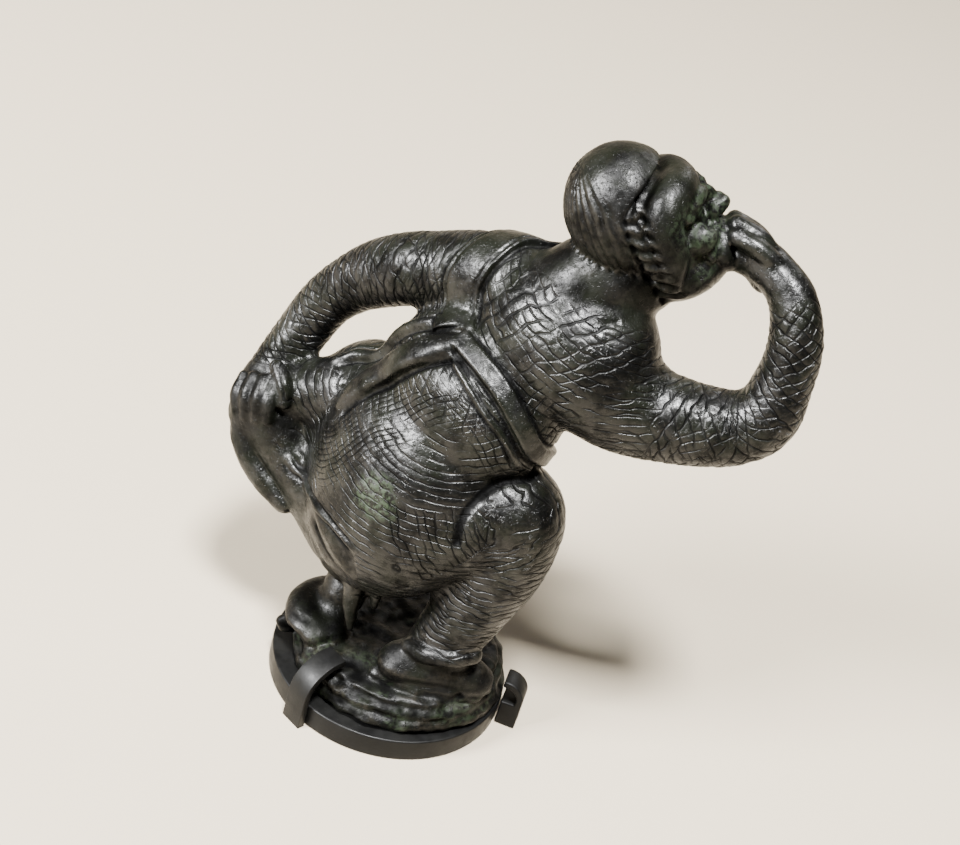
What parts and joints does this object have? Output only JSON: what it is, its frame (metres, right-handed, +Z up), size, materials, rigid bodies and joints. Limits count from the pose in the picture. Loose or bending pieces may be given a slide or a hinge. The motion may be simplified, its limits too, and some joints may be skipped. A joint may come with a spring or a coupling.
{
  "type": "comic actor statuette",
  "caption": "Small cast bronze of a masked comic actor in padded suit, striding on a round base, one hand to the mouth; on a disc plate with bent clips.",
  "frame": {"origin": "middle of the plate's underside, on the surface it stands on", "axes": "+Z up; the figure's body faces -Y, its left is +X"},
  "size_m": [0.0851, 0.0775, 0.1278],
  "materials": {
    "dark_bronze": "dark brown-black patina, semi-gloss",
    "black_paint": "satin charcoal paint"
  },
  "bodies": {
    "root": {"figure": "dark_bronze", "plate": "black_paint", "clip_front_left": "black_paint", "clip_right": "black_paint", "clip_back": "black_paint"}
  },
  "joints": []
}
